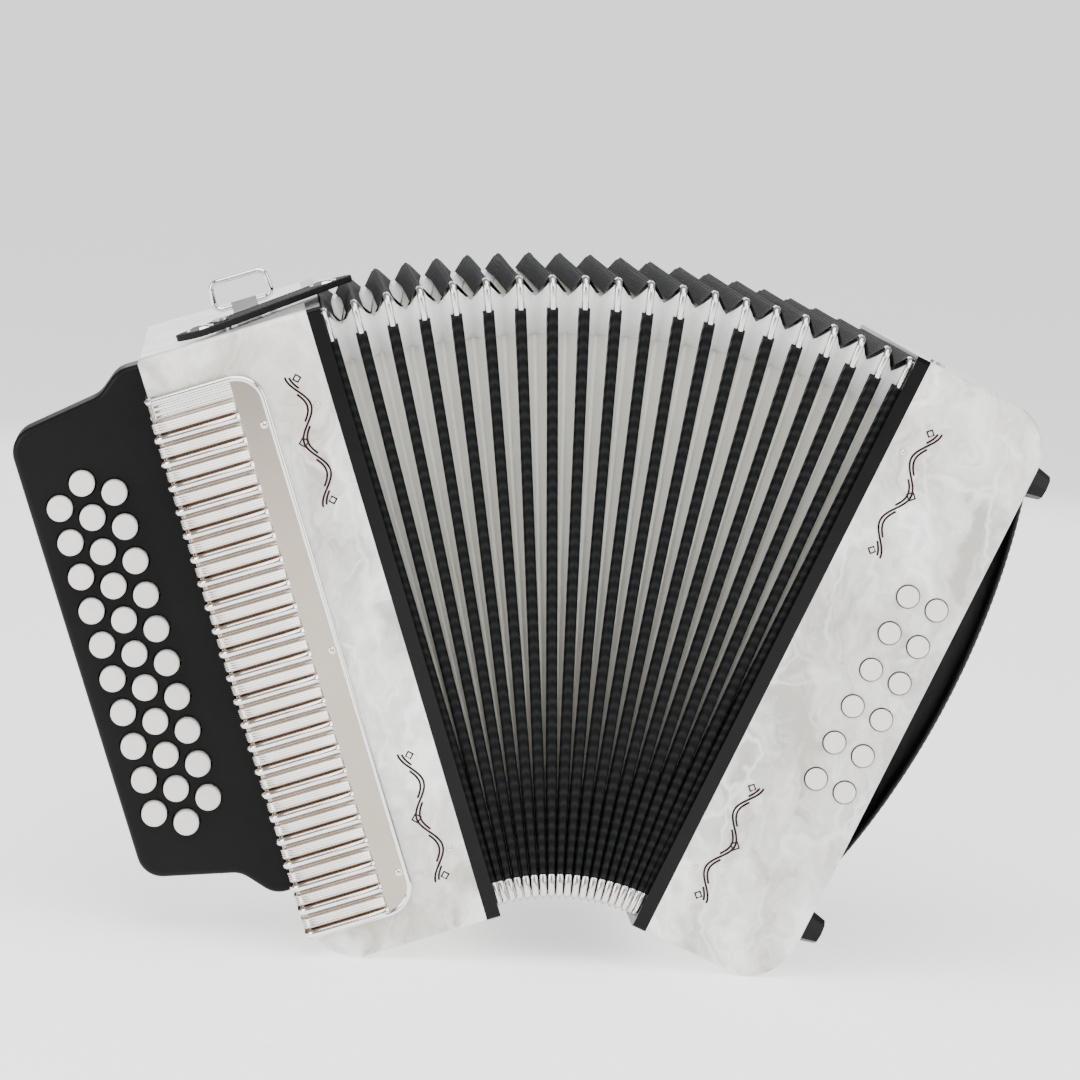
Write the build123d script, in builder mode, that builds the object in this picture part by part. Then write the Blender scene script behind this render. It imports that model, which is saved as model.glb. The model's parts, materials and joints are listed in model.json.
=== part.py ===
from build123d import *
import math
import os

# Three-row button accordion, standing on the lower outer corners of its two sides with the bellows
# fanned open. Each side is drawn upright about the fan's centre: X runs outward, Y from front to
# back and Z up from the fan's centre. It is then swung out to its place in the fan.
# All sizes are in millimetres and degrees.

# Casings
case_height = 311.0
case_depth = 184.0
treble_width = 84.0
bass_width = 71.3
case_wall = 5.0
corner_radius = 25.0
treble_top_radius = 3.0
edge_round = 3.0
inner_round = 1.0

# Bellows
ridge_count = 20
closed_pitch = 3.65
fan_angle = 42.4
fold_ease = 0.04
fold_depth = 20.0
fold_skin = 3.0
ridge_low = 4.6
ridge_high = 308.0
ridge_inset = 4.0
frame_thick = 7.0
frame_border = 16.0
frame_round = 2.0

# Fingerboard, whose front lies behind the front of the casing
board_width = 72.5
board_setback = 34.0
board_depth = 27.0
board_plate = 5.0
board_back = 3.0
board_rim = 6.0
board_low = 35.0
board_high = 306.0
board_round = 3.0
cover_thick = 1.6
cover_lap = 5.0

# Treble keys
key_middle = 170.9
key_pitch = 17.5
outer_column = 57.8
outer_keys = 10
cap_radius = 6.2
cap_hole_gap = 0.8
cap_web = 2.34021  # plate left between the holes of neighbouring columns
cap_proud = 5.0
cap_length = 13.5
cap_round = 1.2
stem_radius = 1.7
key_travel = 3.5
rod_inset = 10.0
rod_setback = 38.0
rod_radius = 1.5
running_gap = 0.05
lever_thick = 1.2
lever_front_gap = 14.0
lever_tall = 4.0
tab_thick = 3.0
pallet_width = 10.0
pallet_length = 14.0
pallet_thick = 3.7
pallet_step = 14.0
pallet_first = 24.0
seat_gap = 0.3
valve_width = 6.0
valve_length = 10.0

# Treble reed pan
pan_setback = 62.0
pan_thick = 6.0
reed_block_wide = 9.0
reed_block_deep = 44.0
reed_plate = 1.0

# Grille
grille_inner = 30.0
grille_low = 16.6
grille_high = 291.0
grille_lap = 4.0
grille_sheet = 1.0
fin_count = 22
fin_first = 34.0
fin_pitch = 12.0
fin_wide = 8.0
fin_tall = 2.2
fin_start = 14.0
slot_wide = 1.6

# Bass keys and what guides them
bass_inner_column = 41.6
bass_column_step = 15.7
bass_low_key = 104.5
bass_key_pitch = 19.95
bass_rows = 6
bass_cap_radius = 5.4
bass_cap_gap = 0.6
bass_cap_proud = 2.0
bass_cap_length = 12.0
bass_travel = 3.0
plunger_radius = 2.0
guide_setback = 30.0
guide_thick = 2.0
guide_margin = 12.0
bass_pan_setback = 76.0
bass_valve_radius = 5.0
poppet_radius = 7.0
poppet_thick = 3.0

# Bass end
end_cover_thick = 2.0
end_cover_low = 48.0
end_cover_high = 266.0
end_cover_half = 80.0
end_window_lap = 8.0
vent_count = 7
vent_pitch = 18.0
vent_wide = 3.0
vent_long = 90.0
foot_low = 34.0
foot_high = 280.0
foot_side = 72.0
foot_radius = 9.0
foot_tip_radius = 6.3
foot_tall = 11.0
strap_half = 38.0
strap_thick = 4.0
strap_low = 36.0
strap_top = 300.0
strap_rise = 21.5
strap_foot = 14.0
air_height = 236.0
air_side = 60.0
air_radius = 7.0
air_head = 3.0
air_travel = 3.5
air_stop_gap = 0.5

# Straps and small metal parts on the tops
stud_radius = 4.0
stud_base = 1.3
stud_neck_radius = 1.8
belt_length = 109.0
belt_wide = 23.0
belt_thick = 3.0
belt_stud = 40.6
belt_stud_side = -67.0
belt_tail = 25.0
belt_turn = 42.0
loop_inner = 14.0
loop_wide = 30.0
loop_tall = 14.0
loop_side = 12.0
wire_radius = 1.3
loop_lift = 3.6
lug_wide = 13.0
lug_plate = 1.0
lug_deep = 15.0
strap_lug_height = 40.0
strap_lug_inset = 24.0
strap_lug_bore = 3.0
strap_lug_thick = 3.0
strap_lug_reach = 11.0
bass_stud = 8.0

# What follows from these sizes
half_depth = case_depth / 2
front = -half_depth
fold_count = ridge_count - 1
fan_radius = closed_pitch * fold_count / math.radians(fan_angle)
base = fan_radius - ridge_low
corner_up = base + corner_radius
treble_arm = frame_thick + treble_width - corner_radius
bass_arm = frame_thick + bass_width - corner_radius
turn = math.radians(fan_angle)
treble_tilt = math.degrees(
    math.atan2(
        corner_up * (1 - math.cos(turn)) + bass_arm * math.sin(turn),
        treble_arm + corner_up * math.sin(turn) + bass_arm * math.cos(turn),
    )
)
bass_tilt = fan_angle - treble_tilt
treble_place = Location((0, 0, 0), (0, -treble_tilt, 0))
bass_place = Location((0, 0, 0), (0, bass_tilt, 0))

board_front = front + board_setback
board_rear = board_front + board_depth
lever_front = board_front + lever_front_gap
lever_rear = lever_front + lever_tall
rod_out = treble_width - rod_inset
rod_y = front + rod_setback
pan_front = front + pan_setback
pallet_rear = pan_front - seat_gap
pallet_front = pallet_rear - pallet_thick
column_step = math.sqrt((2 * (cap_radius + cap_hole_gap) + cap_web) ** 2 - (key_pitch / 2) ** 2)
lane_step = key_pitch / 6
bass_pan_front = front + bass_pan_setback
bass_pan_rear = bass_pan_front + pan_thick
bass_end = frame_thick + bass_width
case_top = base + case_height

pieces = {}


def keep(label, place, *solids):
    # Places what was drawn upright in the fan, under the name of its node.
    pieces[label] = [solid.moved(place) for solid in solids]


def block(x_from, x_to, y_from, y_to, z_from, z_to, mode=Mode.ADD):
    # A plain block between two limits on each axis, in the part being built.
    with Locations(((x_from + x_to) / 2, (y_from + y_to) / 2, (z_from + z_to) / 2)):
        Box(abs(x_to - x_from), abs(y_to - y_from), abs(z_to - z_from), mode=mode)


def treble_x(out):
    return -(frame_thick + out)


def bass_x(out):
    return frame_thick + out


def case_profile(side, width, inset, low_radius, high_radius):
    # Front outline of one side. A positive inset draws the hollow, open towards the bellows.
    inner = frame_thick - (1 if inset else 0)
    outer = frame_thick + width - inset
    tall = case_height - 2 * inset
    with Locations((side * (inner + outer) / 2, base + case_height / 2)):
        Rectangle(outer - inner, tall)
    fillet(sorted(vertices(), key=lambda p: side * p.X - p.Y)[-1], low_radius)
    fillet(sorted(vertices(), key=lambda p: side * p.X + p.Y)[-1], high_radius)


def case_shell(side, width, high_radius):
    # Hollow casing with soft outer edges, open where the bellows frame closes it.
    with BuildPart() as shell:
        with BuildSketch(Plane.XZ.offset(-half_depth)):
            case_profile(side, width, 0, corner_radius, high_radius)
        extrude(amount=case_depth)
        rim = [
            edge
            for face in (shell.faces().sort_by(Axis.Y)[0], shell.faces().sort_by(Axis.Y)[-1])
            for edge in face.edges()
            if side * edge.center().X > frame_thick + 1
        ]
        fillet(rim, edge_round)
        with BuildSketch(Plane.XZ.offset(case_wall - half_depth)):
            case_profile(
                side, width, case_wall, corner_radius - case_wall, max(high_radius - case_wall, inner_round)
            )
        extrude(amount=case_depth - 2 * case_wall, mode=Mode.SUBTRACT)
    return shell.part


def key_places():
    # Column, place along the board and lane of each key, from the bottom to the top.
    places = []
    low = key_middle - key_pitch * (outer_keys - 1) / 2
    for step in range(outer_keys):
        along = low + key_pitch * step
        places.append((0, along, along - lane_step))
        places.append((2, along, along + lane_step))
    for step in range(outer_keys + 1):
        along = low + key_pitch * (step - 0.5)
        places.append((1, along, along))
    return sorted(places, key=lambda place: place[2])


def column_out(column):
    # Distance of a column of caps from the casing's bellows side.
    return treble_width + outer_column - column_step * column


def pallet_out(column):
    return pallet_first + pallet_step * column


def make_treble_casing():
    with BuildPart() as treble_casing:
        add(case_shell(-1, treble_width, treble_top_radius))
        # Window under the grille, in the front and round the outer edge
        block(
            treble_x(treble_width + 1),
            treble_x(grille_inner + grille_lap),
            front - 1,
            board_front,
            base + grille_low + grille_lap,
            base + grille_high - grille_lap,
            mode=Mode.SUBTRACT,
        )
        # Slot for the levers
        lanes = [place[2] for place in key_places()]
        block(
            treble_x(treble_width + 1),
            treble_x(treble_width - case_wall - 1),
            board_front - 1,
            board_rear - board_back,
            base + lanes[0] - key_pitch / 2,
            base + lanes[-1] + key_pitch / 2,
            mode=Mode.SUBTRACT,
        )
    keep("treble_casing", treble_place, treble_casing.part)


def make_fingerboard():
    root = treble_width
    edge = treble_width + board_width
    with BuildPart() as fingerboard:
        with BuildSketch(Plane.XZ.offset(-board_rear)):
            with BuildLine():
                FilletPolyline(
                    (treble_x(root), base + board_high),
                    (treble_x(root + 12), base + board_high),
                    (treble_x(root + 24), base + board_high - 9.5),
                    (treble_x(edge), base + board_high - 16.5),
                    (treble_x(edge), base + board_low + 27),
                    (treble_x(root + 26), base + board_low + 15.5),
                    (treble_x(root + 13), base + board_low),
                    (treble_x(root), base + board_low),
                    radius=13,
                )
                Line(
                    (treble_x(root), base + board_low), (treble_x(root), base + board_high)
                )
            make_face()
        extrude(amount=board_depth)
        soft = [
            line
            for face in (
                fingerboard.faces().sort_by(Axis.Y)[0],
                fingerboard.faces().sort_by(Axis.Y)[-1],
            )
            for line in face.edges()
            if line.center().X < treble_x(root + 1)
        ]
        fillet(soft, board_round)
        # Hollow for the levers, open to the casing
        lanes = [place[2] for place in key_places()]
        low = base + lanes[0] - key_pitch / 2
        high = base + lanes[-1] + key_pitch / 2
        block(
            treble_x(edge - board_rim),
            treble_x(root - 1),
            board_front + board_plate,
            board_rear - board_back,
            low,
            high,
            mode=Mode.SUBTRACT,
        )
        # Service window in the back
        block(
            treble_x(edge - board_rim - cover_lap),
            treble_x(root + cover_lap),
            board_rear - board_back - 1,
            board_rear + 1,
            low + cover_lap,
            high - cover_lap,
            mode=Mode.SUBTRACT,
        )
        with BuildSketch(Plane.XZ.offset(-board_front)):
            for column, along, lane in key_places():
                with Locations((treble_x(column_out(column)), base + along)):
                    Circle(cap_radius + cap_hole_gap)
        extrude(amount=-board_plate, mode=Mode.SUBTRACT)
    with BuildPart() as board_cover:
        with BuildSketch(Plane.XZ.offset(-board_rear - cover_thick)):
            with Locations(((treble_x(edge - board_rim) + treble_x(root)) / 2, (low + high) / 2)):
                RectangleRounded(board_width - board_rim, high - low, cover_lap)
        extrude(amount=cover_thick)
    keep("fingerboard", treble_place, fingerboard.part, board_cover.part)


def make_treble_key(column):
    # One key at height 0: its cap at 0 and its lever in its lane.
    lane = (-lane_step, 0, lane_step)[column]
    cap_x = treble_x(column_out(column))
    pallet_x = treble_x(pallet_out(column))
    rod_x = treble_x(rod_out)
    with BuildPart() as cap:
        with BuildSketch(Plane.XZ.offset(cap_proud - board_front)):
            with Locations((cap_x, 0)):
                Circle(cap_radius)
        extrude(amount=-cap_length)
        fillet(cap.faces().sort_by(Axis.Y)[0].edges(), cap_round)
        with BuildSketch(Plane.XZ.offset(-lever_front)):
            with Locations((cap_x, 0)):
                Circle(stem_radius)
        extrude(amount=lever_front - (board_front - cap_proud + cap_length))
        # Tab that carries the stem across to the side of its lever
        if lane:
            toward = lane / abs(lane)
            block(
                cap_x - stem_radius,
                cap_x + stem_radius,
                lever_front,
                lever_front + tab_thick,
                -toward * stem_radius,
                toward * (abs(lane) - lever_thick / 2),
            )
    with BuildPart() as lever:
        with BuildSketch(Plane.XY.offset(lane - lever_thick / 2)):
            with Locations(((cap_x - stem_radius + pallet_x + 2) / 2, (lever_front + lever_rear) / 2)):
                Rectangle(pallet_x + 2 - (cap_x - stem_radius), lever_tall)
            with Locations((rod_x, (rod_y + lever_rear) / 2)):
                Rectangle(2 * rod_radius + 3, lever_rear - rod_y)
            with Locations((rod_x, rod_y)):
                Circle(rod_radius + 1.5)
            with Locations((pallet_x, (lever_front + pallet_front) / 2)):
                Rectangle(4, pallet_front - lever_front)
            with Locations((rod_x, rod_y)):
                Circle(rod_radius + running_gap, mode=Mode.SUBTRACT)
        extrude(amount=lever_thick)
    with BuildPart() as pallet:
        block(
            pallet_x - pallet_width / 2,
            pallet_x + pallet_width / 2,
            pallet_front,
            pallet_rear,
            lane - pallet_length / 2,
            lane + pallet_length / 2,
        )
    return cap.part, lever.part, pallet.part


def make_treble_keys():
    patterns = [make_treble_key(column) for column in range(3)]
    for number, (column, along, lane) in enumerate(key_places(), start=1):
        up = Location((0, 0, base + along))
        keep(f"treble_key_{number:02d}", treble_place * up, *patterns[column])


def make_treble_grille():
    low = base + grille_low
    high = base + grille_high
    inner = treble_x(grille_inner)
    outer = treble_x(treble_width)
    with BuildPart() as treble_grille:
        # Sheet over the front, bent round the outer edge down to the fingerboard
        block(outer - grille_sheet, inner, front - grille_sheet, front, low, high)
        block(outer - grille_sheet, outer, front - grille_sheet, board_front, low, high)
        # Raised fins from the front panel round to the side
        face = front - grille_sheet - fin_tall
        side = outer - grille_sheet - fin_tall
        for step in range(fin_count):
            start = base + fin_first + fin_pitch * (step - 0.5) - fin_wide / 2
            block(side, inner - fin_start, face, front - grille_sheet, start, start + fin_wide)
            block(side, outer - grille_sheet, face, board_front, start, start + fin_wide)
        bend = [
            edge
            for edge in treble_grille.edges().filter_by(Axis.Z)
            if abs(edge.center().X - side) < 0.01 and abs(edge.center().Y - face) < 0.01
        ]
        fillet(bend, grille_sheet + fin_tall)
        # Sound slots between the fins
        for step in range(fin_count - 1):
            middle = base + fin_first + fin_pitch * step
            block(
                outer + 2 * fin_tall,
                inner - fin_start,
                front - 3 * grille_sheet,
                front + grille_sheet,
                middle - slot_wide / 2,
                middle + slot_wide / 2,
                mode=Mode.SUBTRACT,
            )
    keep("treble_grille", treble_place, treble_grille.part)


def make_treble_reed_pan():
    # Pallet board across the casing, with a valve hole under each pallet
    with BuildPart() as pallet_board:
        block(
            treble_x(treble_width - case_wall),
            treble_x(1),
            pan_front,
            pan_front + pan_thick,
            base + case_wall + corner_radius,
            case_top - case_wall - inner_round,
        )
        for column, along, lane in key_places():
            middle = treble_x(pallet_out(column))
            block(
                middle - valve_width / 2,
                middle + valve_width / 2,
                pan_front - 1,
                pan_front + pan_thick + 1,
                base + lane - valve_length / 2,
                base + lane + valve_length / 2,
                mode=Mode.SUBTRACT,
            )
    low = base + key_middle - key_pitch * (outer_keys + 1) / 2
    high = base + key_middle + key_pitch * (outer_keys + 1) / 2
    rear = pan_front + pan_thick
    solids = [pallet_board.part]
    for column in range(3):
        middle = treble_x(pallet_out(column))
        with BuildPart() as reed_block:
            block(
                middle - reed_block_wide / 2,
                middle + reed_block_wide / 2,
                rear,
                rear + reed_block_deep,
                low,
                high,
            )
            # Chambers, one to each valve hole
            for other, along, lane in key_places():
                if other == column:
                    block(
                        middle - valve_width / 2,
                        middle + valve_width / 2,
                        rear - 1,
                        rear + reed_block_deep - 6,
                        base + lane - valve_length / 2,
                        base + lane + valve_length / 2,
                        mode=Mode.SUBTRACT,
                    )
        with BuildPart() as reed_plate_strip:
            block(
                middle + reed_block_wide / 2,
                middle + reed_block_wide / 2 + reed_plate,
                rear + 4,
                rear + reed_block_deep - 4,
                low + 4,
                high - 4,
            )
        solids += [reed_block.part, reed_plate_strip.part]
    keep("treble_reed_pan", treble_place, *solids)


def snap_stud(x, y):
    # Base washer and neck of one snap stud on a casing's top.
    with BuildPart() as stud:
        with BuildSketch(Plane.XY.offset(case_top)):
            with Locations((x, y)):
                Circle(stud_radius)
        extrude(amount=stud_base)
    return stud.part


def make_treble_metalwork():
    lanes = [place[2] for place in key_places()]
    lane_gap = lanes[1] - lanes[0]
    low = lanes[0] - lane_gap
    high = lanes[-1] + lane_gap
    third = len(lanes) // 3
    posts = [low, lanes[third] + lane_gap / 2, lanes[2 * third] + lane_gap / 2, high]
    rod_x = treble_x(rod_out)
    with BuildPart() as key_rod:
        with BuildSketch(Plane.XY.offset(base + low - 2)):
            with Locations((rod_x, rod_y)):
                Circle(rod_radius)
        extrude(amount=high - low + 4)
        for along in posts:
            block(
                rod_x - rod_radius - 1.5,
                rod_x + rod_radius + 1.5,
                rod_y - rod_radius - 1,
                pan_front,
                base + along - 0.8,
                base + along + 0.8,
            )
    # Lug that the strap loop's lower wire runs in
    lug_low = treble_x(loop_inner + (loop_wide + lug_wide) / 2)
    lug_high = treble_x(loop_inner + (loop_wide - lug_wide) / 2)
    with BuildPart() as loop_lug:
        block(
            lug_low,
            lug_high,
            loop_side - lug_deep / 2,
            loop_side + lug_deep / 2,
            case_top,
            case_top + lug_plate,
        )
        block(
            lug_low,
            lug_high,
            loop_side - wire_radius - 1,
            loop_side + wire_radius + 1,
            case_top,
            case_top + loop_lift + wire_radius + 1,
        )
        with BuildSketch(Plane.YZ.offset(lug_low - 1)):
            with Locations((loop_side, case_top + loop_lift)):
                Circle(wire_radius + running_gap)
        extrude(amount=lug_wide + 2, mode=Mode.SUBTRACT)
    # Lug for the lower end of the shoulder strap, on the back
    lug_x = treble_x(treble_width - strap_lug_inset)
    lug_z = base + strap_lug_height
    with BuildPart() as strap_lug:
        block(lug_x - 11, lug_x + 11, half_depth, half_depth + 1.5, lug_z - 9, lug_z + 9)
        with BuildSketch(Plane.YZ.offset(lug_x - strap_lug_thick / 2)):
            with Locations((half_depth + strap_lug_reach - 5, lug_z)):
                Circle(6)
            with Locations((half_depth + (strap_lug_reach - 5) / 2, lug_z)):
                Rectangle(strap_lug_reach - 5, 12)
            with Locations((half_depth + strap_lug_reach - 5, lug_z)):
                Circle(strap_lug_bore, mode=Mode.SUBTRACT)
        extrude(amount=strap_lug_thick)
    with BuildPart() as pivot_stud:
        add(snap_stud(treble_x(belt_stud), belt_stud_side))
        with BuildSketch(Plane.XY.offset(case_top + stud_base)):
            with Locations((treble_x(belt_stud), belt_stud_side)):
                Circle(stud_neck_radius)
        extrude(amount=belt_thick + 0.6)
        with BuildSketch(Plane.XY.offset(case_top + stud_base + belt_thick + 0.6)):
            with Locations((treble_x(belt_stud), belt_stud_side)):
                Circle(stud_radius)
        extrude(amount=1.2)
    keep(
        "treble_metalwork",
        treble_place,
        key_rod.part,
        loop_lug.part,
        strap_lug.part,
        pivot_stud.part,
    )


def make_bellows_frame(label, side, place):
    # Moulded frame between a casing and the bellows, softened all round
    with BuildPart() as bellows_frame:
        block(
            0,
            side * frame_thick,
            front,
            half_depth,
            base,
            case_top,
        )
        fillet(bellows_frame.edges().filter_by(Axis.X), frame_round)
        block(
            -side,
            side * (frame_thick + 1),
            front + frame_border,
            half_depth - frame_border,
            base + frame_border,
            case_top - frame_border,
            mode=Mode.SUBTRACT,
        )
    keep(label, place, bellows_frame.part)


def make_strap_loop():
    low = case_top + loop_lift
    with BuildPart() as strap_loop:
        with BuildLine(Plane.XZ.offset(-loop_side)) as route:
            FilletPolyline(
                (treble_x(loop_inner), low),
                (treble_x(loop_inner + 1), low + loop_tall),
                (treble_x(loop_inner + loop_wide - 1), low + loop_tall),
                (treble_x(loop_inner + loop_wide), low),
                radius=4,
                close=True,
            )
        with BuildSketch(Plane(route.wire() @ 0, z_dir=route.wire() % 0)):
            Circle(wire_radius)
        sweep(path=route.wire())
    keep("strap_loop", treble_place, strap_loop.part)


def make_bellows_strap():
    # Leather strap across the treble top, turning on its stud
    low = case_top + stud_base + 0.3
    turned = Plane(
        (treble_x(belt_stud), belt_stud_side, low),
        x_dir=(math.cos(math.radians(belt_turn)), math.sin(math.radians(belt_turn)), 0),
        z_dir=(0, 0, 1),
    )
    with BuildPart() as bellows_strap:
        with BuildSketch(turned):
            with Locations((belt_length / 2 - belt_tail, 0)):
                RectangleRounded(belt_length, belt_wide, belt_wide / 2.6)
            Circle(stud_neck_radius + running_gap, mode=Mode.SUBTRACT)
        extrude(amount=belt_thick)
    keep("bellows_strap", treble_place, bellows_strap.part)


def fold_angle(share):
    # Angle of a fold from the treble frame. The last folds, near the bass, open a little less.
    return fan_angle * ((1 + fold_ease) * share - fold_ease * share**5)


def fold_block(extra):
    # Zigzag block through every ridge and valley, each section drawn in by extra on its own plane.
    with BuildPart() as folds:
        for step in range(2 * fold_count + 1):
            inset = extra + (fold_depth if step % 2 else 0)
            low = base + ridge_low + inset
            high = base + ridge_high - inset
            middle = (low + high) / 2
            tilt = math.radians(fold_angle(step / (2 * fold_count)))
            section = Plane(
                (middle * math.sin(tilt), 0, middle * math.cos(tilt)),
                x_dir=(0, 1, 0),
                z_dir=(-math.cos(tilt), 0, math.sin(tilt)),
            )
            with BuildSketch(section):
                Rectangle(2 * (half_depth - ridge_inset - inset), high - low)
        loft(ruled=True)
    return folds.part


def make_bellows_folds():
    # Folded skin: the outer zigzag less the same zigzag set in by the skin
    with BuildPart() as bellows_folds:
        add(fold_block(0))
        add(fold_block(fold_skin), mode=Mode.SUBTRACT)
    keep("bellows_folds", treble_place, bellows_folds.part)


def bass_places():
    return [
        (bass_inner_column + bass_column_step * column, bass_low_key + bass_key_pitch * row)
        for row in range(bass_rows)
        for column in range(2)
    ]


def make_bass_casing():
    with BuildPart() as bass_casing:
        add(case_shell(1, bass_width, corner_radius))
        with BuildSketch(Plane.XZ.offset(half_depth)):
            for out, along in bass_places():
                with Locations((bass_x(out), base + along)):
                    Circle(bass_cap_radius + bass_cap_gap)
        extrude(amount=-case_wall, mode=Mode.SUBTRACT)
        # Window under the end cover
        block(
            bass_end - case_wall - 1,
            bass_end + 1,
            end_window_lap - end_cover_half,
            end_cover_half - end_window_lap,
            base + end_cover_low + end_window_lap,
            base + end_cover_high - end_window_lap,
            mode=Mode.SUBTRACT,
        )
    keep("bass_casing", bass_place, bass_casing.part)


def make_bass_end_cover():
    middle = base + (end_cover_low + end_cover_high) / 2
    with BuildPart() as bass_end_cover:
        with BuildSketch(Plane.YZ.offset(bass_end)):
            with Locations((0, middle)):
                RectangleRounded(2 * end_cover_half, end_cover_high - end_cover_low, 10)
            with Locations((air_side, base + air_height)):
                Circle(air_radius - 2 + running_gap, mode=Mode.SUBTRACT)
            with Locations((0, middle - 18)):
                with GridLocations(0, vent_pitch, 1, vent_count):
                    SlotOverall(vent_long, vent_wide, mode=Mode.SUBTRACT)
        extrude(amount=end_cover_thick)
    keep("bass_end_cover", bass_place, bass_end_cover.part)


def make_bass_keys():
    cap_front = front - bass_cap_proud
    with BuildPart() as cap:
        with BuildSketch(Plane.XZ.offset(-cap_front)):
            Circle(bass_cap_radius)
        extrude(amount=-bass_cap_length)
        fillet(cap.faces().sort_by(Axis.Y)[0].edges(), 1)
    with BuildPart() as plunger:
        with BuildSketch(Plane.XZ.offset(-cap_front - bass_cap_length)):
            Circle(plunger_radius)
        extrude(amount=-(bass_pan_rear + seat_gap - cap_front - bass_cap_length))
    with BuildPart() as poppet:
        with BuildSketch(Plane.XZ.offset(-bass_pan_rear - seat_gap)):
            Circle(poppet_radius)
        extrude(amount=-poppet_thick)
    for number, (out, along) in enumerate(bass_places(), start=1):
        at = Location((bass_x(out), 0, base + along))
        keep(f"bass_key_{number:02d}", bass_place * at, cap.part, plunger.part, poppet.part)


def make_bass_reed_pan():
    with BuildPart() as valve_board:
        block(
            bass_x(1),
            bass_end - case_wall,
            bass_pan_front,
            bass_pan_rear,
            base + case_wall + corner_radius,
            case_top - case_wall - corner_radius,
        )
        with BuildSketch(Plane.XZ.offset(-bass_pan_front)):
            for out, along in bass_places():
                with Locations((bass_x(out), base + along)):
                    Circle(bass_valve_radius)
        extrude(amount=-pan_thick, mode=Mode.SUBTRACT)
    solids = [valve_board.part]
    low = base + bass_low_key - bass_key_pitch
    high = base + bass_low_key + bass_key_pitch * bass_rows
    for middle in (bass_x(10), bass_x(25)):
        with BuildPart() as reed_block:
            block(
                middle - reed_block_wide / 2,
                middle + reed_block_wide / 2,
                bass_pan_rear,
                bass_pan_rear + reed_block_deep,
                low,
                high,
            )
        solids.append(reed_block.part)
    keep("bass_reed_pan", bass_place, *solids)


def make_bass_metalwork():
    guide_front = front + guide_setback
    low = base + bass_low_key - guide_margin
    high = base + bass_low_key + bass_key_pitch * (bass_rows - 1) + guide_margin
    inner = bass_x(bass_inner_column) - guide_margin / 2 - plunger_radius
    outer = bass_end - case_wall - 1
    with BuildPart() as guide_plate:
        block(inner, outer, guide_front, guide_front + guide_thick, low, high)
        for x in (inner, outer - 3):
            for z in (low, high - 3):
                block(x, x + 3, front + case_wall, guide_front, z, z + 3)
        with BuildSketch(Plane.XZ.offset(-guide_front)):
            for out, along in bass_places():
                with Locations((bass_x(out), base + along)):
                    Circle(plunger_radius + running_gap)
        extrude(amount=-guide_thick, mode=Mode.SUBTRACT)
    stud = snap_stud(bass_x(bass_stud), belt_stud_side)
    keep("bass_metalwork", bass_place, guide_plate.part, stud)


def make_bass_feet():
    feet = []
    for side in (-foot_side, foot_side):
        for height in (foot_low, foot_high):
            with BuildPart() as foot:
                with BuildSketch(Plane.YZ.offset(bass_end)):
                    with Locations((side, base + height)):
                        RegularPolygon(foot_radius, 8)
                with BuildSketch(Plane.YZ.offset(bass_end + foot_tall)):
                    with Locations((side, base + height)):
                        RegularPolygon(foot_tip_radius, 8)
                loft()
            feet.append(foot.part)
    keep("bass_feet", bass_place, *feet)


def make_hand_strap():
    # Padded band, held at both ends and bowed out so that a hand passes under it
    rise = bass_end + strap_rise
    low = base + strap_low
    high = base + strap_top
    with BuildPart() as hand_strap:
        with BuildSketch(Plane.XZ.offset(-strap_half)):
            with BuildLine():
                Polyline((bass_end, low + strap_foot), (bass_end, low), (bass_end + 1.5, low))
                Spline(
                    (bass_end + 1.5, low),
                    (bass_end + strap_rise * 0.62, low + 54),
                    (rise, (low + high) / 2 - 4),
                    (bass_end + strap_rise * 0.66, high - 54),
                    (bass_end + 1.5, high),
                    tangents=((0.35, 1), (-0.35, 1)),
                )
                Polyline((bass_end + 1.5, high), (bass_end, high), (bass_end, high - strap_foot))
                Spline(
                    (bass_end, high - strap_foot),
                    (bass_end + strap_rise * 0.66 - strap_thick, high - 60),
                    (rise - strap_thick, (low + high) / 2 - 4),
                    (bass_end + strap_rise * 0.62 - strap_thick, low + 60),
                    (bass_end, low + strap_foot),
                    tangents=((0.3, -1), (-0.3, -1)),
                )
            make_face()
        extrude(amount=2 * strap_half)
        block(
            bass_end - 1,
            bass_end + end_cover_thick + 0.3,
            -strap_half - 1,
            strap_half + 1,
            base + end_cover_low - 0.5,
            base + end_cover_high + 0.5,
            mode=Mode.SUBTRACT,
        )
    keep("hand_strap", bass_place, hand_strap.part)


def make_air_button():
    head = bass_end + end_cover_thick + air_travel + air_stop_gap
    tail = bass_end - case_wall - 8
    with BuildPart() as air_button:
        with BuildSketch(Plane.YZ.offset(head)):
            with Locations((air_side, base + air_height)):
                Circle(air_radius)
        extrude(amount=air_head)
        fillet(air_button.faces().sort_by(Axis.X)[-1].edges(), 1)
        with BuildSketch(Plane.YZ.offset(tail)):
            with Locations((air_side, base + air_height)):
                Circle(air_radius - 2)
        extrude(amount=head - tail)
    keep("air_button", bass_place, air_button.part)


make_treble_casing()
make_fingerboard()
make_treble_keys()
make_treble_grille()
make_treble_reed_pan()
make_treble_metalwork()
make_bellows_frame("treble_bellows_frame", -1, treble_place)
make_bellows_frame("bass_bellows_frame", 1, bass_place)
make_strap_loop()
make_bellows_strap()
make_bellows_folds()
make_bass_casing()
make_bass_end_cover()
make_bass_keys()
make_bass_reed_pan()
make_bass_metalwork()
make_bass_feet()
make_hand_strap()
make_air_button()

# The whole stands on Z = 0, with its middle over the origin.
boxes = [solid.bounding_box() for solids in pieces.values() for solid in solids]
low_x = min(box.min.X for box in boxes)
high_x = max(box.max.X for box in boxes)
low_y = min(box.min.Y for box in boxes)
high_y = max(box.max.Y for box in boxes)
low_z = min(box.min.Z for box in boxes)
stand = Location((-(low_x + high_x) / 2, -(low_y + high_y) / 2, -low_z))

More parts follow.
